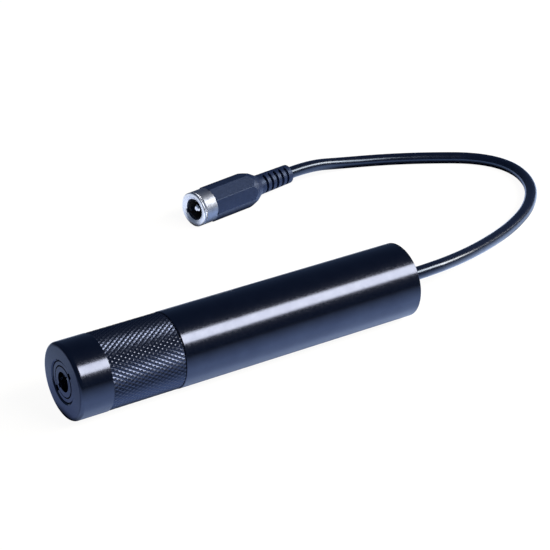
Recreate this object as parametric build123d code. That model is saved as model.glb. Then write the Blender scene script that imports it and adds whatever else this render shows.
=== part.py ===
from build123d import *
import os
from math import atan2, cos, degrees, pi, radians, sin, sqrt, tan

# Laser module with a knurled focus head, a cord and an inline socket for a barrel plug.
# It lies on its side on the ground plane: the beam leaves towards -X, the cord leaves towards +X.
# Stations are distances along the tube's axis, counted from the front face of the head.
# All lengths are in millimetres.

# Tube
tube_diameter = 20.0
head_length = 29.0
head_gap = 0.2
barrel_length = 71.1
barrel_wall = 1.5
barrel_edge_chamfer = 0.15

# Focus head
head_front_round = 1.0
band_edge_chamfer = 0.05
band_length = 8.9
knurl_rear_margin = 0.08
knurl_starts = 54
knurl_row_pitch = 0.9
knurl_depth = 0.18
knurl_land_share = 0.25
knurl_relief = 0.02
head_wall = 1.6
head_neck_relief = 0.1
head_web_end = 13.0
ring_bore_depth = 5.0
ring_bore_chamfer = 0.3

# Focus thread: crests only, as running cylinders, and its key and spring
thread_clearance = 0.05
keyway_run_out = 1.0
nose_front = 15.2
nose_wall = 1.5
washer_thickness = 0.8
washer_clearance = 0.25
washer_hole_radius = 4.8
key_width = 2.0
key_length = 3.6
key_height = 0.95
key_clearance = 0.1
face_clearance = 0.02
spring_wire_radius = 0.35
spring_turns = 4

# Lens stack
ring_radius = 5.5
ring_recess = 0.3
ring_thickness = 1.7
ring_edge_chamfer = 0.3
ring_face_width = 0.9
ring_slot_width = 1.5
ring_slot_depth = 0.45
cell_rim_width = 0.35
cell_recess = 0.25
cell_flange_thickness = 2.0
cell_body_radius = 4.5
cell_end = 10.0
cell_notch_width = 1.1
cell_notch_depth = 0.7
cell_notch_height = 0.35
aperture_radius = 2.6
aperture_length = 2.0
lens_radius = 3.45
lens_edge_thickness = 2.2
lens_bulge = 0.9
lock_ring_thickness = 1.5
lock_ring_hole_radius = 2.7
lock_ring_slot_width = 1.0
lock_ring_slot_depth = 0.5
slot_angle = 43.0
fit_clearance = 0.05
seal_squeeze_clearance = 0.02

# Diode and its housing
housing_shoulder_inset = 0.5
housing_body_length = 15.1
housing_clearance = 0.02
spring_floor = 22.0
housing_web = 2.0
board_bay_radius = 6.5
post_front = 15.0
post_radius = 4.5
diode_base_radius = 2.8
diode_base_thickness = 1.2
diode_cap_radius = 1.78
diode_cap_length = 2.4
diode_window_radius = 0.9
diode_window_recess = 0.15
clamp_ring_radius = 3.75
clamp_ring_hole_radius = 2.1
clamp_ring_thickness = 0.9
lead_bore_radius = 2.0
lead_radius = 0.225
lead_length = 9.0
lead_angles = (45, 135, 225)

# Driver board, in a sleeve behind the diode
board_length = 32.0
board_width = 12.0
board_thickness = 1.0
board_front_gap = 1.0
sleeve_front_gap = 2.0
sleeve_wall = 0.4
sleeve_length = 36.0
regulator_size = (5.0, 4.0, 1.5)
regulator_place = 5.5
inductor_radius = 3.0
inductor_waist_radius = 2.2
inductor_height = 3.2
inductor_flange = 0.6
inductor_place = 13.0
capacitor_radius = 2.0
capacitor_length = 6.5
capacitor_place = 22.5
trimmer_size = (4.5, 3.8, 1.8)
trimmer_place = 6.5
trimmer_screw_radius = 1.1
trimmer_screw_height = 0.4
trimmer_slot_width = 0.5
resistor_size = (2.0, 1.2, 0.6)
resistor_places = (12.0, 15.0, 18.0, 21.0)
supply_lead_radius = 0.55
pad_offset = 3.2
pad_inset = 2.5
core_offset = 0.75
lead_straight = 8.0
lead_bend_share = 0.55

# Rear end
cap_length = 4.7
cap_recess = 0.3
cap_edge_chamfer = 0.3
grommet_hole_radius = 3.0
grommet_flange_radius = 4.1
grommet_flange_thickness = 1.5
grommet_inner_flange_thickness = 1.0
grommet_recess = 0.2
crimp_radius = 2.8
crimp_length = 2.5
cord_grip_clearance = 0.02

# Cord
cord_diameter = 3.6
cord_inside = 10.0

# Inline jack: its stations run from the mouth to the cord end
jack_length = 37.6
shell_radius = 5.1
shell_visible_length = 5.2
shell_lip = 1.0
shell_lip_radius = 3.25
shell_mouth_radius = 4.1
shell_mouth_bevel = 0.4
shell_tube_radius = 4.1
shell_wall = 0.4
shell_length = 12.0
shell_edge_chamfer = 0.2
serration_count = 54
serration_depth = 0.18
serration_start = 0.5
serration_width = 0.7
key_notch_width = 1.3
key_notch_depth = 0.65
key_notch_angle = -24.0
insulator_bore_radius = 2.95
insulator_floor = 10.5
insulator_length = 13.0
contact_pin_radius = 1.05
contact_pin_tip = 1.2
contact_pin_tail = 1.5
contact_pin_round = 0.4
contact_pin_shank_radius = 1.7
contact_pin_shank_rise = 0.3
leaf_width = 1.1
leaf_thickness = 0.25
leaf_front = 1.4
leaf_bow = 0.35
moulding_sides = 8
moulding_across_flats = 9.9
moulding_roll = -10.0
moulding_edge_round = 0.3
moulding_shoulder = 19.2
moulding_shoulder_radius = 5.5
moulding_waist = 22.2
moulding_waist_radius = 4.6
moulding_neck = 24.9
relief_start_radius = 3.05
relief_end_radius = 2.85
relief_end_round = 0.3
relief_slot_count = 5
relief_slot_width = 0.95
relief_slot_pitch = 2.1
relief_first_slot = 26.4
relief_core_radius = 2.15
relief_web = 1.5

# Places that follow from the sizes above
tube_radius = tube_diameter / 2
overall_length = head_length + head_gap + barrel_length
front_x = -overall_length / 2
rear_x = front_x + overall_length
axis_height = tube_radius
barrel_start = head_length + head_gap
barrel_end = barrel_start + barrel_length
barrel_bore_radius = tube_radius - barrel_wall
knurl_valley_radius = tube_radius - band_edge_chamfer - knurl_relief - knurl_depth
knurl_length = head_length - knurl_rear_margin - band_length
knurl_rows = round(knurl_length / knurl_row_pitch)
head_thread_radius = knurl_valley_radius - head_wall
nose_radius = head_thread_radius - thread_clearance
spring_bay_radius = nose_radius - nose_wall
cord_radius = cord_diameter / 2
moulding_half_angle = pi / moulding_sides
moulding_corner_radius = (moulding_across_flats / 2 - moulding_edge_round) / cos(moulding_half_angle)
lowest_corner_angle = moulding_half_angle - radians(abs(moulding_roll))
jack_height = moulding_corner_radius * cos(lowest_corner_angle) + moulding_edge_round

# The cord's route, as offsets from the middle of the tube's rear end, with heights above the ground
exit_run = 8.0
route_on_ground = [
    (25.2, 5.6, 7.3),
    (42.3, 14.0, 4.1),
    (57.1, 21.9, 2.2),
    (70.3, 30.4, cord_radius),
    (80.4, 41.9, cord_radius),
    (84.0, 55.3, cord_radius),
    (79.1, 66.4, cord_radius),
    (66.6, 74.7, cord_radius),
    (53.5, 81.5, cord_radius),
    (40.9, 85.9, 2.0),
    (27.5, 83.8, jack_height),
    (18.5, 82.2, jack_height),
]
bend_share = 0.45


def turned(*outline):
    """A piece turned about the tube's axis, from (station, radius) points."""
    profile = make_face(Polyline(*outline, close=True))
    return Pos(front_x, 0, axis_height) * revolve(profile, Axis.X)


def in_tube(shape):
    """Moves a shape from the front of the tube's axis to its place in the part."""
    return Pos(front_x, 0, axis_height) * shape


def across_axis(station):
    """The plane at that station that the axis crosses, facing along it."""
    return Plane(origin=(station, 0, 0), x_dir=(0, 1, 0), z_dir=(1, 0, 0))


def rounds_along(start, length, radius):
    """A cylinder along the tube's axis, not yet placed in the part."""
    return Pos(start + length / 2, 0, 0) * Rot(0, 90, 0) * Cylinder(radius, length)


# Tube
def barrel():
    return turned(
        (barrel_start, barrel_bore_radius),
        (barrel_start, tube_radius - barrel_edge_chamfer),
        (barrel_start + barrel_edge_chamfer, tube_radius),
        (barrel_end - barrel_edge_chamfer, tube_radius),
        (barrel_end, tube_radius - barrel_edge_chamfer),
        (barrel_end, barrel_bore_radius),
    )


# Focus head
def knurl_point(row, column):
    """A place on the knurl: grooves cross where row + column is even, and points stand where it is odd."""
    angle = pi * column / knurl_starts
    station = band_length + row * knurl_length / knurl_rows
    return Vector(station, knurl_valley_radius * cos(angle), knurl_valley_radius * sin(angle))


def land_corner(row, column, crossing):
    """A corner of the small flat that cuts a point's top off, on the point's edge to a groove crossing."""
    angle = pi * column / knurl_starts
    sharp_radius = knurl_valley_radius + knurl_depth / (1 - knurl_land_share)
    sharp_top = Vector(knurl_point(row, column).X, sharp_radius * cos(angle), sharp_radius * sin(angle))
    return sharp_top + (crossing - sharp_top) * knurl_land_share


def flat_face(*corners):
    return Face(Wire.make_polygon(corners, close=True))


def knurl_faces():
    """The points of the knurl, with four flanks and a small flat on top, and half points at both ends."""
    faces = []
    for row in range(knurl_rows + 1):
        for column in range(2 * knurl_starts):
            if (row + column) % 2 == 0:
                continue
            sides = [knurl_point(row, column - 1), knurl_point(row, column + 1)]
            land_sides = [land_corner(row, column, side) for side in sides]
            beside = [other for other in (row - 1, row + 1) if 0 <= other <= knurl_rows]
            ends = [knurl_point(other, column) for other in beside]
            land_ends = [land_corner(row, column, end) for end in ends]
            for end, land_end in zip(ends, land_ends):
                for side, land_side in zip(sides, land_sides):
                    faces.append(flat_face(end, side, land_side, land_end))
                faces.append(flat_face(land_sides[0], land_end, land_sides[1]))
    return faces


def knurl_end(row, circle_radius):
    """The flat ring at one end of the knurl, between its toothed edge and a circle."""
    teeth = []
    for column in range(2 * knurl_starts):
        if (row + column) % 2 == 0:
            teeth.append(knurl_point(row, column))
        else:
            for side in (column - 1, column + 1):
                teeth.append(land_corner(row, column, knurl_point(row, side)))
    toothed = Wire.make_polygon(teeth, close=True)
    circle = Wire.make_circle(circle_radius, across_axis(knurl_point(row, 0).X))
    outer, inner = (circle, toothed) if circle_radius > knurl_valley_radius else (toothed, circle)
    return Face(outer, [inner])


def is_under_knurl(face):
    box = face.bounding_box()
    margin = knurl_relief / 2
    in_band = box.min.X > band_length - margin and box.max.X < band_length + knurl_length + margin
    return in_band and box.max.Z > knurl_valley_radius - margin


def focus_head():
    """Front band, diamond knurl, lens bore and threaded bore, in one piece."""
    knurl_rear = band_length + knurl_length
    neck_radius = knurl_valley_radius - head_neck_relief
    web_bore_radius = cell_body_radius + fit_clearance
    band_edge_radius = tube_radius - band_edge_chamfer
    outline = Polyline(
        (0, ring_radius + ring_bore_chamfer),
        (0, tube_radius),
        (band_length - band_edge_chamfer, tube_radius),
        (band_length, band_edge_radius),
        (band_length, knurl_valley_radius),
        (knurl_rear, knurl_valley_radius),
        (knurl_rear, neck_radius),
        (head_length, neck_radius),
        (head_length, head_thread_radius),
        (head_web_end, head_thread_radius),
        (head_web_end, web_bore_radius),
        (ring_bore_depth, web_bore_radius),
        (ring_bore_depth, ring_radius),
        (ring_bore_chamfer, ring_radius),
        close=True,
    )
    profile = make_face(outline)
    front_corner = profile.vertices().sort_by_distance((0, tube_radius, 0))[0]
    plain_head = revolve(fillet(front_corner, head_front_round), Axis.X)
    skin = [face for face in plain_head.faces() if not is_under_knurl(face)]
    skin += knurl_faces()
    skin.append(knurl_end(0, band_edge_radius))
    skin.append(knurl_end(knurl_rows, neck_radius))
    return in_tube(Solid(Shell(skin)))


# Lens stack
def slot_bar(station, width, depth, reach):
    """A bar across the axis at the slots' angle, to cut a slot from a front face."""
    bar = Pos(station + depth / 2, 0, 0) * Box(depth, width, 2 * reach)
    return Rot(90 - slot_angle, 0, 0) * bar


def lens_retaining_ring():
    outer = ring_radius - fit_clearance
    inner = outer - ring_edge_chamfer - ring_face_width
    front = ring_recess
    rear = front + ring_thickness
    ring = turned(
        (front, inner),
        (front, outer - ring_edge_chamfer),
        (front + ring_edge_chamfer, outer),
        (rear, outer),
        (rear, inner),
    )
    return ring - in_tube(slot_bar(front, ring_slot_width, ring_slot_depth, ring_radius))


def lens_cell():
    flange_front = ring_recess + ring_thickness
    flange_rear = flange_front + cell_flange_thickness
    ring_hole = ring_radius - fit_clearance - ring_edge_chamfer - ring_face_width
    spigot = ring_hole - cell_rim_width
    lens_seat = cell_recess + aperture_length
    cell = turned(
        (cell_recess, aperture_radius),
        (cell_recess, spigot),
        (flange_front, spigot),
        (flange_front, ring_radius - fit_clearance),
        (flange_rear, ring_radius - fit_clearance),
        (flange_rear, cell_body_radius),
        (cell_end, cell_body_radius),
        (cell_end, lens_radius + fit_clearance),
        (lens_seat, lens_radius + fit_clearance),
        (lens_seat, aperture_radius),
    )
    notch_reach = aperture_radius + cell_notch_depth
    return cell - in_tube(slot_bar(cell_recess, cell_notch_width, cell_notch_height, notch_reach))


def collimating_lens():
    """Plano-convex, with its curved side to the aperture."""
    seat = cell_recess + aperture_length
    flat = seat + lens_edge_thickness
    clear = aperture_radius - fit_clearance
    sphere_radius = (clear**2 + lens_bulge**2) / (2 * lens_bulge)
    halfway = seat - lens_bulge + sphere_radius - sqrt(sphere_radius**2 - (clear / 2) ** 2)
    top = seat - lens_bulge
    outline = Curve() + [
        ThreePointArc((seat, clear), (halfway, clear / 2), (top, 0)),
        Polyline((top, 0), (flat, 0), (flat, lens_radius), (seat, lens_radius), (seat, clear)),
    ]
    return in_tube(revolve(make_face(outline), Axis.X))


def lens_lock_ring():
    front = cell_recess + aperture_length + lens_edge_thickness
    rear = front + lock_ring_thickness
    ring = turned(
        (front, lock_ring_hole_radius),
        (front, lens_radius),
        (rear, lens_radius),
        (rear, lock_ring_hole_radius),
    )
    slot = slot_bar(rear - lock_ring_slot_depth, lock_ring_slot_width, lock_ring_slot_depth, lens_radius)
    return ring - in_tube(slot)


def lens_o_ring():
    """Round cord in the space between the cell's flange and the bottom of the ring bore."""
    front = ring_recess + ring_thickness + cell_flange_thickness
    room = min(ring_bore_depth - front, ring_radius - cell_body_radius)
    section = room / 2 - seal_squeeze_clearance
    middle = (ring_radius + cell_body_radius) / 2
    ring = Rot(0, 90, 0) * Torus(middle, section)
    return in_tube(Pos((front + ring_bore_depth) / 2, 0, 0) * ring)


# Focus mechanism
def washer_outer_radius():
    return spring_bay_radius - washer_clearance


def spring_radius():
    return (washer_hole_radius + washer_outer_radius()) / 2


def thrust_washer():
    """Sits between the turning head and the spring, and two keys keep it from turning."""
    front = head_web_end + face_clearance
    rear = front + washer_thickness
    washer = turned(
        (front, washer_hole_radius),
        (front, washer_outer_radius()),
        (rear, washer_outer_radius()),
        (rear, washer_hole_radius),
    )
    key_radius = spring_bay_radius + key_height
    key_foot = spring_radius() + spring_wire_radius + key_clearance
    for side in (-1, 1):
        key = Box(key_length, key_width, key_radius - key_foot)
        middle = (key_foot + key_radius) / 2
        washer += in_tube(Pos(front + key_length / 2, 0, side * middle) * key)
    return washer


def focus_spring():
    front = head_web_end + face_clearance + washer_thickness + spring_wire_radius
    rear = spring_floor - spring_wire_radius
    length = rear - front - 2 * face_clearance
    path = Helix(length / spring_turns, length, spring_radius())
    wire = Plane(origin=path @ 0, z_dir=path % 0) * Circle(spring_wire_radius)
    coil = sweep(wire, path)
    return in_tube(Pos(front + face_clearance, 0, 0) * Rot(0, 90, 0) * coil)


# Diode and its housing
def diode_base_front():
    return post_front + clamp_ring_thickness


def diode_housing():
    """Brass heat sink: threaded nose, spring bay, diode post and a bay for the driver board."""
    shoulder = barrel_start + housing_shoulder_inset
    rear = shoulder + housing_body_length
    body_radius = barrel_bore_radius - housing_clearance
    base_rear = diode_base_front() + diode_base_thickness
    housing = turned(
        (nose_front, spring_bay_radius),
        (nose_front, nose_radius),
        (shoulder, nose_radius),
        (shoulder, body_radius),
        (rear, body_radius),
        (rear, board_bay_radius),
        (spring_floor + housing_web, board_bay_radius),
        (spring_floor + housing_web, lead_bore_radius),
        (base_rear, lead_bore_radius),
        (base_rear, diode_base_radius + fit_clearance),
        (diode_base_front(), diode_base_radius + fit_clearance),
        (diode_base_front(), clamp_ring_radius + fit_clearance),
        (post_front, clamp_ring_radius + fit_clearance),
        (post_front, post_radius),
        (spring_floor, post_radius),
        (spring_floor, spring_bay_radius),
    )
    keyway_depth = head_web_end + key_length + key_clearance + keyway_run_out - nose_front
    keyway = Box(keyway_depth, key_width + 2 * key_clearance, 2 * tube_radius)
    post = rounds_along(post_front, spring_floor - post_front, post_radius)
    cut = Pos(nose_front + keyway_depth / 2, 0, 0) * keyway
    return housing - in_tube(cut - post)


def laser_diode():
    """Round can: base, cap and a recessed window."""
    front = diode_base_front()
    cap_front = front - diode_cap_length
    return turned(
        (cap_front + diode_window_recess, 0),
        (cap_front + diode_window_recess, diode_window_radius),
        (cap_front, diode_window_radius),
        (cap_front, diode_cap_radius),
        (front, diode_cap_radius),
        (front, diode_base_radius),
        (front + diode_base_thickness, diode_base_radius),
        (front + diode_base_thickness, 0),
    )


def diode_leads():
    """Three wires from the diode's base, spread to lie on both faces of the driver board."""
    start = diode_base_front() + diode_base_thickness
    spread = (board_thickness / 2 + lead_radius + face_clearance) / sin(radians(lead_angles[0]))
    leads = []
    for angle in lead_angles:
        y = spread * cos(radians(angle))
        z = spread * sin(radians(angle))
        leads.append(in_tube(Pos(0, y, z) * rounds_along(start, lead_length, lead_radius)))
    return Compound(leads)


def diode_clamp_ring():
    rear = post_front + clamp_ring_thickness
    return turned(
        (post_front, clamp_ring_hole_radius),
        (post_front, clamp_ring_radius),
        (rear, clamp_ring_radius),
        (rear, clamp_ring_hole_radius),
    )


# Driver board
def board_front():
    return spring_floor + housing_web + board_front_gap


def on_board(place, across, height, side=1):
    """A place on the board: along it, across it, and above its upper or lower face."""
    return Pos(board_front() + place, across, side * (board_thickness / 2 + height))


def driver_board():
    middle = board_front() + board_length / 2
    return in_tube(Pos(middle, 0, 0) * Box(board_length, board_width, board_thickness))


def driver_regulator():
    length, width, height = regulator_size
    return in_tube(on_board(regulator_place, 0, height / 2) * Box(length, width, height))


def driver_inductor():
    """Drum core: two flanges and a wound waist."""
    profile = Polyline(
        (0, 0),
        (inductor_radius, 0),
        (inductor_radius, inductor_flange),
        (inductor_waist_radius, inductor_flange),
        (inductor_waist_radius, inductor_height - inductor_flange),
        (inductor_radius, inductor_height - inductor_flange),
        (inductor_radius, inductor_height),
        (0, inductor_height),
        close=True,
    )
    drum = revolve(make_face(Plane.XZ * profile), Axis.Z)
    return in_tube(on_board(inductor_place, 0, 0) * drum)


def driver_capacitor():
    can = Rot(0, 90, 0) * Cylinder(capacitor_radius, capacitor_length)
    return in_tube(on_board(capacitor_place, 0, capacitor_radius + face_clearance) * can)


def power_trimmer():
    """On the lower face, with a slotted screw."""
    length, width, height = trimmer_size
    body = Box(length, width, height)
    screw = Cylinder(trimmer_screw_radius, trimmer_screw_height)
    slot = Box(2 * trimmer_screw_radius, trimmer_slot_width, trimmer_screw_height)
    body += Pos(0, 0, -(height + trimmer_screw_height) / 2) * screw
    body -= Pos(0, 0, -(height / 2 + trimmer_screw_height)) * slot
    return in_tube(on_board(trimmer_place, 0, height / 2, side=-1) * body)


def driver_resistors():
    length, width, height = resistor_size
    chips = []
    for place in resistor_places:
        chips.append(in_tube(on_board(place, 0, height / 2, side=-1) * Box(length, width, height)))
    return Compound(chips)


def insulating_sleeve():
    front = spring_floor + housing_web + sleeve_front_gap
    rear = front + sleeve_length
    outer = board_bay_radius - fit_clearance
    return turned(
        (front, outer - sleeve_wall),
        (front, outer),
        (rear, outer),
        (rear, outer - sleeve_wall),
    )


def supply_lead(side):
    """One insulated lead, from its pad on the board to the inner end of the cord."""
    start = board_front() + board_length - pad_inset
    end = barrel_end - cord_inside
    lift = board_thickness / 2 + supply_lead_radius + face_clearance
    halfway = (start + end) / 2
    halfway_offset = core_offset + lead_bend_share * (pad_offset - core_offset)
    points = [
        (start, side * pad_offset, lift),
        (start + lead_straight, side * pad_offset, lift),
        (halfway, side * halfway_offset, lead_bend_share * lift),
        (end - lead_straight, side * core_offset, 0),
        (end, side * core_offset, 0),
    ]
    path = FilletPolyline(*points, radius=lead_straight)
    section = Plane(origin=path @ 0, z_dir=path % 0) * Circle(supply_lead_radius)
    return in_tube(sweep(section, path))


# Rear end
def rear_cap():
    """Plug in the end of the barrel, with a stepped hole for the grommet."""
    outer_face = barrel_end - cap_recess
    inner_face = outer_face - cap_length
    radius = barrel_bore_radius - housing_clearance
    step = outer_face - grommet_flange_thickness - grommet_recess
    return turned(
        (inner_face, grommet_hole_radius + fit_clearance),
        (inner_face, radius),
        (outer_face - cap_edge_chamfer, radius),
        (outer_face, radius - cap_edge_chamfer),
        (outer_face, grommet_flange_radius + fit_clearance),
        (step, grommet_flange_radius + fit_clearance),
        (step, grommet_hole_radius + fit_clearance),
    )


def cord_grommet():
    cap_outer = barrel_end - cap_recess
    cap_inner = cap_outer - cap_length
    outer_face = cap_outer - grommet_recess
    step = outer_face - grommet_flange_thickness
    inner_face = cap_inner - grommet_inner_flange_thickness
    hole = cord_radius + cord_grip_clearance
    return turned(
        (inner_face, hole),
        (inner_face, grommet_flange_radius),
        (cap_inner, grommet_flange_radius),
        (cap_inner, grommet_hole_radius),
        (step, grommet_hole_radius),
        (step, grommet_flange_radius),
        (outer_face, grommet_flange_radius),
        (outer_face, hole),
    )


def cord_crimp():
    """Ring crimped on the cord behind the grommet, so that a pull on the cord stops there."""
    rear = barrel_end - cap_recess - cap_length - grommet_inner_flange_thickness
    front = rear - crimp_length
    hole = cord_radius + cord_grip_clearance
    return turned((front, hole), (front, crimp_radius), (rear, crimp_radius), (rear, hole))


# Cord
def cord_points():
    points = [
        Vector(rear_x - cord_inside, 0, axis_height),
        Vector(rear_x + exit_run, 0, axis_height),
    ]
    for along, aside, height in route_on_ground:
        points.append(Vector(rear_x + along, aside, height))
    return points


def bend_radii(points):
    """Each bend is as large as the shorter of its two runs allows."""
    radii = []
    for before, at, after in zip(points[:-2], points[1:-1], points[2:]):
        turn = radians((at - before).get_angle(after - at))
        shorter = min((at - before).length, (after - at).length)
        radii.append(bend_share * shorter / tan(turn / 2))
    return radii


def power_cord():
    points = cord_points()
    radii = bend_radii(points)
    path = FilletPolyline(*points, radius=radii)
    section = Plane(origin=path @ 0, z_dir=path % 0) * Circle(cord_radius)
    cord = sweep(section, path)
    plain_volume = pi * cord_radius**2 * path.length
    print("cord bend radii", [round(radius, 1) for radius in radii])
    print("cord length", round(path.length, 1))
    print("cord volume over section times length", round(cord.volume / plain_volume, 4))
    return cord


# Inline jack, in its own frame: X from the mouth to the cord, Z up
def at_jack(shape):
    """Moves a jack piece onto the end of the cord, in line with the cord's last run."""
    end = cord_points()[-1]
    before = cord_points()[-2]
    heading = degrees(atan2(before.Y - end.Y, before.X - end.X))
    return Pos(end.X, end.Y, end.Z) * Rot(0, 0, heading) * Pos(-jack_length, 0, 0) * shape


def jack_turned(*outline):
    return revolve(make_face(Polyline(*outline, close=True)), Axis.X)


def key_notch(start, length, inner, outer, width):
    """A bar beside the bore, at the angle of the socket's key."""
    bar = Pos(start + length / 2, (inner + outer) / 2, 0) * Box(length, outer - inner, width)
    return Rot(key_notch_angle, 0, 0) * bar


def serrated_disc(start, width):
    """A disc with a toothed rim, like a coin's edge."""
    points = []
    for step in range(2 * serration_count):
        radius = shell_radius - (serration_depth if step % 2 else 0)
        angle = pi * step / serration_count
        points.append((radius * cos(angle), radius * sin(angle)))
    rim = across_axis(start) * make_face(Polyline(*points, close=True))
    return extrude(rim, amount=width, dir=(1, 0, 0))


def jack_shell():
    """Nickelled ring and sleeve, with a milled edge behind the lip and a key notch in the lip."""
    tube_inner = shell_tube_radius - shell_wall
    shell = jack_turned(
        (shell_mouth_bevel, shell_lip_radius),
        (0, shell_mouth_radius),
        (0, shell_radius - shell_edge_chamfer),
        (shell_edge_chamfer, shell_radius),
        (shell_visible_length, shell_radius),
        (shell_visible_length, shell_tube_radius),
        (shell_length, shell_tube_radius),
        (shell_length, tube_inner),
        (shell_lip, tube_inner),
        (shell_lip, shell_lip_radius),
    )
    band = jack_turned(
        (serration_start, shell_radius - serration_depth),
        (serration_start, shell_radius + serration_depth),
        (serration_start + serration_width, shell_radius + serration_depth),
        (serration_start + serration_width, shell_radius - serration_depth),
    )
    shell -= band - serrated_disc(serration_start, serration_width)
    shell -= key_notch(0, shell_lip, 0, shell_lip_radius + key_notch_depth / 2, key_notch_width)
    return at_jack(shell)


def jack_insulator():
    """Black cup inside the shell, with a slot for the sleeve contact."""
    outer = shell_tube_radius - shell_wall - fit_clearance
    slot_outer = outer - leaf_thickness
    slot_inner = insulator_bore_radius / 2
    cup = jack_turned(
        (shell_lip, insulator_bore_radius),
        (shell_lip, outer),
        (insulator_length, outer),
        (insulator_length, contact_pin_shank_radius + fit_clearance),
        (insulator_floor, contact_pin_shank_radius + fit_clearance),
        (insulator_floor, insulator_bore_radius),
    )
    slot_length = insulator_floor - shell_lip
    slot = key_notch(shell_lip, slot_length, slot_inner, slot_outer, key_notch_width)
    return at_jack(cup - slot)


def jack_pin():
    """Bright pin, with a thicker shank where the insulator holds it."""
    tail = insulator_length + contact_pin_tail
    tip = contact_pin_tip
    shank = insulator_floor - contact_pin_shank_rise
    return at_jack(
        jack_turned(
            (tip, 0),
            (tip, contact_pin_radius - contact_pin_round),
            (tip + contact_pin_round, contact_pin_radius),
            (shank, contact_pin_radius),
            (shank, contact_pin_shank_radius),
            (tail, contact_pin_shank_radius),
            (tail, 0),
        )
    )


def jack_sleeve_contact():
    """Sprung leaf in the key slot, bowed towards the pin, so that it presses on the plug."""
    slot_floor = shell_tube_radius - shell_wall - fit_clearance - leaf_thickness
    back = slot_floor - fit_clearance
    end = insulator_floor - fit_clearance
    middle = (leaf_front + end) / 2
    lower = ThreePointArc((leaf_front, back), (middle, back - leaf_bow), (end, back))
    upper = ThreePointArc(
        (leaf_front, back - leaf_thickness),
        (middle, back - leaf_bow - leaf_thickness),
        (end, back - leaf_thickness),
    )
    ends = [
        Line((leaf_front, back), (leaf_front, back - leaf_thickness)),
        Line((end, back), (end, back - leaf_thickness)),
    ]
    leaf = extrude(make_face(Wire([lower, upper] + ends)), amount=leaf_width / 2, both=True)
    return at_jack(Rot(key_notch_angle, 0, 0) * leaf)


def moulding_section():
    """A regular polygon with rounded corners, rolled a little, as the jack lies."""
    polygon = RegularPolygon(moulding_across_flats / 2, moulding_sides, major_radius=False)
    flat_side_down = Rot(0, 0, degrees(moulding_half_angle)) * polygon
    return Rot(0, 0, moulding_roll) * fillet(flat_side_down.vertices(), moulding_edge_round)


def relief_slots():
    """Slots round the strain relief, which leave a web above and below."""
    slots = []
    web = Rot(moulding_roll, 0, 0) * Box(relief_slot_width, relief_web, 2 * moulding_waist_radius)
    for index in range(relief_slot_count):
        start = relief_first_slot + index * relief_slot_pitch
        ring = rounds_along(start, relief_slot_width, moulding_waist_radius)
        ring -= rounds_along(start, relief_slot_width, relief_core_radius)
        slots.append(ring - Pos(start + relief_slot_width / 2, 0, 0) * web)
    return slots


def jack_overmould():
    """Flat-sided grip, shoulder and slotted strain relief, moulded round the jack and the cord."""
    grip_length = moulding_neck - shell_visible_length
    section = across_axis(shell_visible_length) * moulding_section()
    grip = extrude(section, amount=grip_length, dir=(1, 0, 0))
    envelope = Polyline(
        (shell_visible_length, 0),
        (shell_visible_length, moulding_shoulder_radius),
        (moulding_shoulder, moulding_shoulder_radius),
        (moulding_waist, moulding_waist_radius),
        (moulding_neck, relief_start_radius),
        (moulding_neck, 0),
        close=True,
    )
    grip &= revolve(make_face(envelope), Axis.X)
    relief = jack_turned(
        (moulding_neck, 0),
        (moulding_neck, relief_start_radius),
        (jack_length - relief_end_round, relief_end_radius),
        (jack_length, relief_end_radius - relief_end_round),
        (jack_length, 0),
    )
    body = grip + relief
    for slot in relief_slots():
        body -= slot
    cavity = jack_turned(
        (shell_visible_length, 0),
        (shell_visible_length, shell_tube_radius + fit_clearance),
        (shell_length, shell_tube_radius + fit_clearance),
        (shell_length, shell_tube_radius - shell_wall),
        (insulator_length, shell_tube_radius - shell_wall),
        (insulator_length, contact_pin_shank_radius + fit_clearance),
        (insulator_length + contact_pin_tail, contact_pin_shank_radius + fit_clearance),
        (insulator_length + contact_pin_tail, 0),
    )
    return at_jack(body - cavity)


nodes = {
    "focus_head": focus_head(),
    "lens_retaining_ring": lens_retaining_ring(),
    "lens_cell": lens_cell(),
    "collimating_lens": collimating_lens(),
    "lens_lock_ring": lens_lock_ring(),
    "lens_o_ring": lens_o_ring(),
    "thrust_washer": thrust_washer(),
    "focus_spring": focus_spring(),
    "barrel": barrel(),
    "diode_housing": diode_housing(),
    "laser_diode": laser_diode(),
    "diode_leads": diode_leads(),
    "diode_clamp_ring": diode_clamp_ring(),
    "driver_board": driver_board(),
    "driver_regulator": driver_regulator(),
    "driver_inductor": driver_inductor(),
    "driver_capacitor": driver_capacitor(),
    "power_trimmer": power_trimmer(),
    "driver_resistors": driver_resistors(),
    "insulating_sleeve": insulating_sleeve(),
    "supply_lead_positive": supply_lead(1),
    "supply_lead_negative": supply_lead(-1),
    "rear_cap": rear_cap(),
    "cord_grommet": cord_grommet(),
    "cord_crimp": cord_crimp(),
    "power_cord": power_cord(),
    "jack_shell": jack_shell(),
    "jack_insulator": jack_insulator(),
    "jack_pin": jack_pin(),
    "jack_sleeve_contact": jack_sleeve_contact(),
    "jack_overmould": jack_overmould(),
}

os.makedirs("parts", exist_ok=True)
for name, shape in nodes.items():
    export_step(shape, f"parts/{name}.step")
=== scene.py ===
from math import pi

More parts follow.
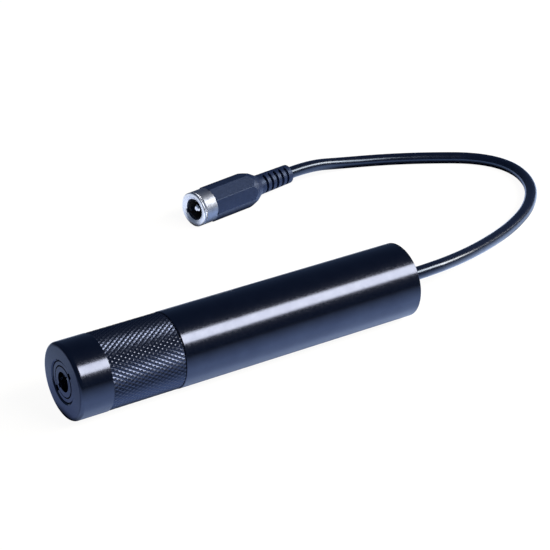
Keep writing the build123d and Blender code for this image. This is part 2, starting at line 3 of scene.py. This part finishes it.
import bpy
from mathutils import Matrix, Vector


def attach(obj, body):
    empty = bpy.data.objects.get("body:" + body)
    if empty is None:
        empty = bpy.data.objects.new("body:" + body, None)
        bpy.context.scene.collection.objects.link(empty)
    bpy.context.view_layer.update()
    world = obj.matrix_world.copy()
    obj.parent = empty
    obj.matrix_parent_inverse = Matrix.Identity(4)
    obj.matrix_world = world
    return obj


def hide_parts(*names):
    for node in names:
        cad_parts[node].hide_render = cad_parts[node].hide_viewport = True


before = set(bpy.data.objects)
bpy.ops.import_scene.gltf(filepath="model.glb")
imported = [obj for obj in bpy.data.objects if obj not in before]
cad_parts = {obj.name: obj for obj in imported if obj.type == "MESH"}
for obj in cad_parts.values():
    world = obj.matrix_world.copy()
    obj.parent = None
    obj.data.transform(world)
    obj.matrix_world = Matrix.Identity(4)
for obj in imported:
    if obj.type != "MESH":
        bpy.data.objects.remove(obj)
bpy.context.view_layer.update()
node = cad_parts

# All lengths are in metres, in the part's own frame: the tube lies along X and the ground is z = 0.
# Colours are linear.
black = (0.0, 0.0, 0.0)
white = (1.0, 1.0, 1.0)

# Camera
camera_place = Vector((-0.23394, -0.37874, 0.25254))
camera_back = Vector((-0.4836, -0.7478, 0.4549))
camera_lens = 130.9
camera_sensor = 36.0
camera_near = 0.01
camera_far = 20.0

# Cord
cord_diameter = 0.0036
cord_route = [
    (0.04015, 0.0000, 0.0100),
    (0.05815, 0.0000, 0.0100),
    (0.07535, 0.0056, 0.0073),
    (0.09245, 0.0140, 0.0041),
    (0.10725, 0.0219, 0.0022),
    (0.12045, 0.0304, 0.0018),
    (0.13055, 0.0419, 0.0018),
    (0.13415, 0.0553, 0.0018),
    (0.12925, 0.0664, 0.0018),
    (0.11675, 0.0747, 0.0018),
    (0.10365, 0.0815, 0.0018),
    (0.09105, 0.0859, 0.0020),
    (0.07765, 0.0838, 0.0052138),
    (0.06865, 0.0822, 0.0052138),
]
cord_line_steps = 16
cord_section_steps = 7

# Jack
jack_front = (Vector(cord_route[-1]) - Vector(cord_route[-2])).normalized()

# Tube and the knurl on its focus head
axis_height = 0.010
knurl_front_x = -0.04125
knurl_rear_x = -0.02115

# Noise: the limits that it is stretched between, narrower for clear patches, and its detail
noise_limits = (0.3, 0.7)
patch_limits = (0.35, 0.65)
noise_detail = 3.0
patch_detail = 4.0

# Anodised aluminium
turned_ring_pitch = 0.00022
turned_line_pitch = 0.00030
turned_line_share = 0.12
turned_mark_share = 0.35
anodised_grain = 0.00012
anodised_detail = 2.0
anodised_depth = 0.0000035
anodised_patch = 0.004
anodised_gloss_patch = 0.0006
anodised_colour = (0.046, 0.053, 0.076)
anodised_second = (0.054, 0.062, 0.086)
# Painted shade: the flat faces get a darker colour than the turned sides.
painted_shade_on_flats = (0.024, 0.029, 0.047)
# Painted tint: the knurl's flanks get a bluer colour, to tint the lines of light they reflect.
painted_flank_tint = (0.041, 0.051, 0.082)
anodised_roughness = (0.15, 0.21)
knurl_roughness = 0.05
flank_roughness = 0.08
flat_limits = (0.80, 0.98)
flank_limits = (0.95, 0.99)

# Plain metals
metal_grain = 0.0003
metal_detail = 5.0
metal_depth = 0.000002
metal_patch = 0.0024
metal_gloss_patch = 0.0006
metal_gloss_swing = 0.2

# Nickel plate
nickel_grain = 0.0003
nickel_depth = 0.000001
nickel_patch = 0.0012
nickel_wear_patch = 0.0006
nickel_wear = 0.08
# Painted light and shade: the faces towards the plug are brighter and warmer than nickel, and the band is
# darker.
nickel_front_painted_light = (1.0, 0.89, 0.75)
nickel_band_painted_shade = (0.22, 0.25, 0.31)
nickel_band_painted_shade_second = (0.18, 0.20, 0.25)
nickel_front_roughness = 0.28
nickel_band_roughness = 0.44
nickel_front_limits = (0.2, 0.7)

# Moulded pieces
moulded_grain = 0.00015
moulded_depth = 0.000006
moulded_gloss = 0.5
moulded_patch_grains = 12
moulded_gloss_patch_grains = 4
moulded_gloss_swing = 0.12

# Lens
lens_index = 1.52
lens_colour = (0.90, 0.94, 1.0)
lens_second = (0.97, 0.98, 1.0)
smear_patch = 0.001
smear_roughness = 0.02

# Lamps: name, place, the way the back points, width and height, radiance
lamp_colour = (1.0, 0.92, 0.80)
high_lamp_back = Vector((0.088, -0.381, 0.466))
low_lamp_place = Vector((1.22, -0.205, 0.331))
lamps = [
    ("softbox", Vector((0.3035, -0.4022, 0.466)), high_lamp_back, (0.50, 0.28), 14.0),
    ("softbox_wing", Vector((0.927, -0.258, 0.466)), high_lamp_back, (0.78, 0.28), 18.0),
    ("low_softbox", low_lamp_place, low_lamp_place, (0.46, 0.20), 15.0),
]

# Room
fill_light = (0.22, 0.22, 0.22)
room_in_gloss = (0.062, 0.098, 0.188)

# Floor: in the gloss it is a painted bluish glow, brightest near the object and fading along the ray, with
# painted shade where the two touch
floor_half_size = 3.0
floor_colour = (0.85, 0.85, 0.85)
floor_roughness = 0.8
floor_glow = 1.04
floor_glow_share = 0.9
floor_in_gloss = (0.54, 0.71, 1.0)
floor_glow_in_gloss = (0.23, 0.31, 0.64)
full_gloss_length = 0.0132
gloss_fade_length = 0.012
contact_shade_limits = (0.0018, 0.006)


def add_camera():
    data = bpy.data.cameras.new("camera")
    data.lens = camera_lens
    data.sensor_width = camera_sensor
    data.clip_start = camera_near
    data.clip_end = camera_far
    camera = bpy.data.objects.new("camera", data)
    camera.location = camera_place
    camera.rotation_mode = "QUATERNION"
    camera.rotation_quaternion = (-camera_back).to_track_quat("-Z", "Y")
    bpy.context.scene.collection.objects.link(camera)
    bpy.context.scene.camera = camera


def add_cord():
    """The cord's jacket: a smooth line through the route, with a round section."""
    curve = bpy.data.curves.new("power_lead", "CURVE")
    curve.dimensions = "3D"
    spline = curve.splines.new("NURBS")
    spline.points.add(len(cord_route) - 1)
    for point, place in zip(spline.points, cord_route):
        point.co = (*place, 1.0)
        point.radius = cord_diameter / 2
    spline.order_u = 3
    spline.use_endpoint_u = True
    spline.resolution_u = cord_line_steps
    curve.bevel_depth = 1.0
    curve.bevel_resolution = cord_section_steps
    curve.use_fill_caps = True
    cord = bpy.data.objects.new("power_lead", curve)
    bpy.context.scene.collection.objects.link(cord)
    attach(cord, "barrel")
    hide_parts("power_cord")
    return cord


class Nodes:
    """A node tree, with short calls for its nodes."""

    def __init__(self, owner):
        owner.use_nodes = True
        self.tree = owner.node_tree

    def add(self, kind, **settings):
        made = self.tree.nodes.new(kind)
        for key, value in settings.items():
            setattr(made, key, value)
        return made

    def link(self, source, target):
        self.tree.links.new(source, target)

    def feed(self, target, value):
        """Sets a socket to a plain value, or joins it to another node's output."""
        if isinstance(value, bpy.types.NodeSocket):
            self.link(value, target)
        elif target.type == "RGBA":
            target.default_value = (*value, 1.0)
        else:
            target.default_value = value

    def math(self, operation, first, second=0.0):
        made = self.add("ShaderNodeMath", operation=operation)
        self.feed(made.inputs[0], first)
        self.feed(made.inputs[1], second)
        return made.outputs["Value"]

    def plus(self, first, second):
        return self.math("ADD", first, second)

    def times(self, first, second):
        return self.math("MULTIPLY", first, second)

    def above(self, first, second):
        """1 where the first value is the greater one, and 0 elsewhere."""
        return self.math("GREATER_THAN", first, second)

    def length(self, first, second):
        """The length of a plane vector."""
        return self.math("SQRT", self.plus(self.times(first, first), self.times(second, second)))

    def ramp(self, value, low, high, to_low, to_high):
        made = self.add("ShaderNodeMapRange")
        made.clamp = True
        for key, amount in (("Value", value), ("From Min", low), ("From Max", high)):
            self.feed(made.inputs[key], amount)
        made.inputs["To Min"].default_value = to_low
        made.inputs["To Max"].default_value = to_high
        return made.outputs["Result"]

    def blend(self, factor, first, second):
        """A colour between two colours."""
        made = self.add("ShaderNodeMix", data_type="RGBA")
        self.feed(made.inputs["Factor"], factor)
        for key, colour in (("A", first), ("B", second)):
            self.feed(next(s for s in made.inputs if s.name == key and s.type == "RGBA"), colour)
        return next(s for s in made.outputs if s.type == "RGBA")

    def rays(self):
        """The light path's outputs, and 1 for a ray from the camera, straight or through glass."""
        outputs = self.add("ShaderNodeLightPath").outputs
        return outputs, self.math("MAXIMUM", outputs["Is Camera Ray"], outputs["Is Transmission Ray"])


class Surface(Nodes):
    """A material on the Principled shader, in the object's own coordinates."""

    def __init__(self, name):
        self.material = bpy.data.materials.new(name)
        super().__init__(self.material)
        self.shader = self.tree.nodes["Principled BSDF"]
        coordinates = self.add("ShaderNodeTexCoord")
        self.place = coordinates.outputs["Object"]
        self.normal = coordinates.outputs["Normal"]

    def noise(self, grain, detail=noise_detail):
        """Noise whose grain is that many metres wide."""
        made = self.add("ShaderNodeTexNoise")
        made.inputs["Scale"].default_value = 1 / grain
        made.inputs["Detail"].default_value = detail
        self.link(self.place, made.inputs["Vector"])
        return made.outputs["Fac"]

    def wander(self, grain, low, high, detail=noise_detail, limits=noise_limits):
        """A value that wanders between two others, in patches about as wide as the grain."""
        return self.ramp(self.noise(grain, detail), *limits, low, high)

    def bump(self, height, depth):
        """Bumps as deep as that many metres where height goes from 0 to 1."""
        made = self.add("ShaderNodeBump")
        made.inputs["Distance"].default_value = depth
        self.link(height, made.inputs["Height"])
        return made.outputs["Normal"]

    def parts(self, vector):
        made = self.add("ShaderNodeSeparateXYZ")
        self.link(vector, made.inputs["Vector"])
        return made.outputs["X"], made.outputs["Y"], made.outputs["Z"]

    def set(self, **values):
        """Sets the shader's sockets: names with _ for a space."""
        for key, value in values.items():
            self.feed(self.shader.inputs[key.replace("_", " ")], value)


def anodised():
    """Black anodised aluminium: turned flats, fine grain in the satin surface, a navy cast. The flat faces
    are painted darker as shade, and the knurl's flanks get a bluer colour as a painted tint on their
    reflected lines.
    """
    make = Surface("anodised_aluminium")
    x, y, z = make.parts(make.place)
    facing_x, facing_y, facing_z = make.parts(make.normal)
    above_axis = make.math("SUBTRACT", z, axis_height)
    from_axis = make.length(y, above_axis)
    rings = make.math("SINE", make.times(from_axis, 2 * pi / turned_ring_pitch))
    lines = make.math("SINE", make.times(x, 2 * pi / turned_line_pitch))
    is_flat = make.ramp(make.math("ABSOLUTE", facing_x), *flat_limits, 0.0, 1.0)
    marks = make.plus(make.times(rings, is_flat), make.times(lines, turned_line_share))
    height = make.plus(make.noise(anodised_grain, anodised_detail), make.times(marks, turned_mark_share))
    outward = make.plus(make.times(facing_y, y), make.times(facing_z, above_axis))
    slanted = make.ramp(make.math("DIVIDE", outward, from_axis), *flank_limits, 1.0, 0.0)
    in_knurl = make.times(make.above(x, knurl_front_x), make.above(knurl_rear_x, x))
    is_flank = make.times(slanted, in_knurl)
    cloud = make.wander(anodised_patch, 0.0, 1.0, detail=patch_detail)
    turned_colour = make.blend(cloud, anodised_colour, anodised_second)
    # Painted shade: flat faces are darker.
    colour_with_painted_flat_shade = make.blend(is_flat, turned_colour, painted_shade_on_flats)
    smooth_roughness = make.wander(anodised_gloss_patch, *anodised_roughness)
    added_roughness = make.plus(
        make.times(in_knurl, knurl_roughness),
        make.times(is_flank, flank_roughness),
    )
    make.set(
        # Painted tint: the knurl's flanks are bluer, which tints their reflected lines.
        Base_Color=make.blend(is_flank, colour_with_painted_flat_shade, painted_flank_tint),
        Metallic=1.0,
        Roughness=make.plus(smooth_roughness, added_roughness),
        Normal=make.bump(height, anodised_depth),
    )
    return make.material


def metal(name, colour, worn, roughness):
    """A bare or plated metal, slightly uneven in colour and gloss."""
    make = Surface(name)
    cloud = make.wander(metal_patch, 0.0, 1.0, detail=metal_detail, limits=patch_limits)
    swing = metal_gloss_swing * roughness
    make.set(
        Base_Color=make.blend(cloud, colour, worn),
        Metallic=1.0,
        Roughness=make.wander(metal_gloss_patch, roughness - swing, roughness + swing),
        Normal=make.bump(make.noise(metal_grain), metal_depth),
    )
    return make.material


def nickel():
    """Nickel plate, with painted light on what faces the plug, made brighter and warmer, and painted shade
    on the band, made darker.
    """
    make = Surface("nickel")
    towards_plug = make.add("ShaderNodeVectorMath", operation="DOT_PRODUCT")
    make.link(make.normal, towards_plug.inputs[0])
    towards_plug.inputs[1].default_value = jack_front
    painted_light_front = make.ramp(towards_plug.outputs["Value"], *nickel_front_limits, 0.0, 1.0)
    cloud = make.wander(nickel_patch, 0.0, 1.0, detail=patch_detail, limits=patch_limits)
    # Painted shade: the band is darker than the nickel front.
    shaded_band = make.blend(cloud, nickel_band_painted_shade, nickel_band_painted_shade_second)
    roughness = make.ramp(painted_light_front, 0.0, 1.0, nickel_band_roughness, nickel_front_roughness)
    make.set(
        # Painted light on the front, painted shade on the band.
        Base_Color=make.blend(painted_light_front, shaded_band, nickel_front_painted_light),
        Metallic=1.0,
        Roughness=make.plus(roughness, make.wander(nickel_wear_patch, 0.0, nickel_wear)),
        Normal=make.bump(make.noise(nickel_grain), nickel_depth),
    )
    return make.material


def moulded(
    name,
    colour,
    second,
    roughness,
    grain=moulded_grain,
    depth=moulded_depth,
    gloss=moulded_gloss,
    sheen=white,
):
    """Plastic, rubber or film, with a fine moulded grain. Its gloss has the sheen's colour."""
    make = Surface(name)
    cloud = make.wander(moulded_patch_grains * grain, 0.0, 1.0, detail=patch_detail, limits=patch_limits)
    swing = moulded_gloss_swing * roughness
    make.set(
        Base_Color=make.blend(cloud, colour, second),
        Roughness=make.wander(moulded_gloss_patch_grains * grain, roughness - swing, roughness + swing),
        Specular_IOR_Level=gloss,
        Specular_Tint=sheen,
        Normal=make.bump(make.noise(grain), depth),
    )
    return make.material


def glass():
    """Coated glass with a faint smear."""
    make = Surface("coated_lens")
    smear = make.noise(smear_patch, patch_detail)
    make.set(
        Base_Color=make.blend(smear, lens_colour, lens_second),
        Transmission_Weight=1.0,
        IOR=lens_index,
        Roughness=make.ramp(smear, *noise_limits, 0.0, smear_roughness),
    )
    return make.material


def dress(material, *names):
    """Gives CAD nodes a material."""
    for name in names:
        mesh = node[name].data
        if not mesh.materials:
            mesh.materials.append(material)
        for place in node[name].material_slots:
            place.material = material


def add_lamp(name, place, back, size, radiance):
    """A softbox that shines the opposite way from its back. The camera doesn't see it."""
    data = bpy.data.lights.new(name, "AREA")
    data.shape = "RECTANGLE"
    data.size, data.size_y = size
    data.color = lamp_colour
    data.energy = radiance * pi * data.size * data.size_y
    lamp = bpy.data.objects.new(name, data)
    lamp.location = place
    lamp.rotation_mode = "QUATERNION"
    lamp.rotation_quaternion = back.to_track_quat("Z", "Y")
    lamp.visible_camera = False
    bpy.context.scene.collection.objects.link(lamp)


def add_world():
    """White behind everything that the camera sees, a dim blue room in the gloss, and some fill light."""
    world = bpy.data.worlds.new("room")
    bpy.context.scene.world = world
    make = Nodes(world)
    rays, seen = make.rays()
    room = make.blend(rays["Is Glossy Ray"], fill_light, room_in_gloss)
    make.feed(make.tree.nodes["Background"].inputs["Color"], make.blend(seen, room, white))


def add_floor():
    """A white table that keeps the object's shadow. In the gloss it shows a painted bluish glow near the
    object and painted shade where the two touch.
    """
    half = floor_half_size
    corners = [(-half, -half, 0.0), (half, -half, 0.0), (half, half, 0.0), (-half, half, 0.0)]
    mesh = bpy.data.meshes.new("floor")
    mesh.from_pydata(corners, [], [(0, 1, 2, 3)])
    floor = bpy.data.objects.new("floor", mesh)
    bpy.context.scene.collection.objects.link(floor)
    make = Surface("floor")
    mesh.materials.append(make.material)
    rays, seen = make.rays()
    in_gloss = rays["Is Glossy Ray"]
    reach = make.plus(rays["Ray Length"], gloss_fade_length)
    near = make.math("MINIMUM", make.math("DIVIDE", full_gloss_length + gloss_fade_length, reach), 1.0)
    # Painted light and shade in the gloss: the floor glows bluish near the object, fades with the ray's
    # length, and is dark where the two touch.
    share = make.times(near, make.ramp(rays["Ray Length"], *contact_shade_limits, 0.0, 1.0))
    make.set(
        Base_Color=make.blend(in_gloss, floor_colour, make.blend(share, black, floor_in_gloss)),
        Roughness=floor_roughness,
        Specular_IOR_Level=0.0,
        Emission_Color=make.blend(share, black, floor_glow_in_gloss),
        Emission_Strength=in_gloss,
    )
    glow = make.add("ShaderNodeEmission")
    glow.inputs["Strength"].default_value = floor_glow
    mix = make.add("ShaderNodeMixShader")
    make.feed(mix.inputs["Fac"], make.times(seen, floor_glow_share))
    make.link(make.shader.outputs["BSDF"], mix.inputs[1])
    make.link(glow.outputs["Emission"], mix.inputs[2])
    make.link(mix.outputs["Shader"], make.tree.nodes["Material Output"].inputs["Surface"])


add_camera()
power_lead = add_cord()

# Metals
dress(anodised(), "focus_head", "barrel", "rear_cap", "lens_cell", "lens_retaining_ring", "lens_lock_ring")
dress(nickel(), "jack_shell", "jack_pin", "jack_sleeve_contact")
dress(
    metal("bronze", colour=(0.55, 0.36, 0.18), worn=(0.47, 0.29, 0.13), roughness=0.3),
    "thrust_washer",
)
dress(
    metal("spring_wire", colour=(0.60, 0.60, 0.61), worn=(0.50, 0.50, 0.52), roughness=0.25),
    "focus_spring",
)
dress(
    metal("brass", colour=(0.72, 0.55, 0.25), worn=(0.63, 0.46, 0.19), roughness=0.26),
    "diode_housing",
    "diode_clamp_ring",
    "cord_crimp",
)
dress(
    metal("gold", colour=(0.90, 0.68, 0.32), worn=(0.83, 0.60, 0.26), roughness=0.2),
    "laser_diode",
    "diode_leads",
)

# Lens
dress(glass(), "collimating_lens")

# Seals, film and the driver with its leads
dress(
    moulded(
        "seal_rubber",
        colour=(0.006, 0.007, 0.011),
        second=(0.010, 0.011, 0.016),
        roughness=0.55,
        gloss=0.35,
        sheen=(0.6, 0.74, 1.0),
    ),
    "lens_o_ring",
    "cord_grommet",
)
dress(
    moulded("sleeve_film", colour=(0.75, 0.70, 0.55), second=(0.68, 0.62, 0.47), roughness=0.4),
    "insulating_sleeve",
)
dress(
    moulded("laminate", colour=(0.012, 0.13, 0.055), second=(0.02, 0.17, 0.075), roughness=0.35),
    "driver_board",
)
dress(
    moulded("component_body", colour=(0.018, 0.018, 0.02), second=(0.026, 0.026, 0.028), roughness=0.5),
    "driver_regulator",
    "driver_inductor",
    "driver_resistors",
)
dress(
    moulded("component_case", colour=(0.10, 0.18, 0.40), second=(0.13, 0.22, 0.45), roughness=0.45),
    "driver_capacitor",
    "power_trimmer",
)
dress(
    moulded("red_insulation", colour=(0.55, 0.03, 0.02), second=(0.48, 0.025, 0.018), roughness=0.4),
    "supply_lead_positive",
)
dress(
    moulded("black_insulation", colour=(0.015, 0.015, 0.015), second=(0.02, 0.02, 0.02), roughness=0.4),
    "supply_lead_negative",
)

# Cord and the moulded pieces of its jack
dress(
    moulded("socket_plastic", colour=(0.022, 0.025, 0.034), second=(0.030, 0.033, 0.043), roughness=0.4),
    "jack_insulator",
)
dress(
    moulded(
        "moulded_grip",
        colour=(0.003, 0.007, 0.027),
        second=(0.005, 0.010, 0.034),
        roughness=0.5,
        gloss=0.45,
        sheen=(0.42, 0.60, 1.0),
    ),
    "jack_overmould",
)
cord_jacket = moulded(
    "cord_jacket",
    colour=(0.0012, 0.0020, 0.007),
    second=(0.0020, 0.0030, 0.010),
    roughness=0.21,
    grain=0.0005,
    depth=0.0000007,
    gloss=0.62,
    sheen=(0.58, 0.74, 1.0),
)
power_lead.data.materials.append(cord_jacket)

# Light and floor
for lamp in lamps:
    add_lamp(*lamp)
add_world()
add_floor()
bpy.context.scene.view_settings.view_transform = "Standard"
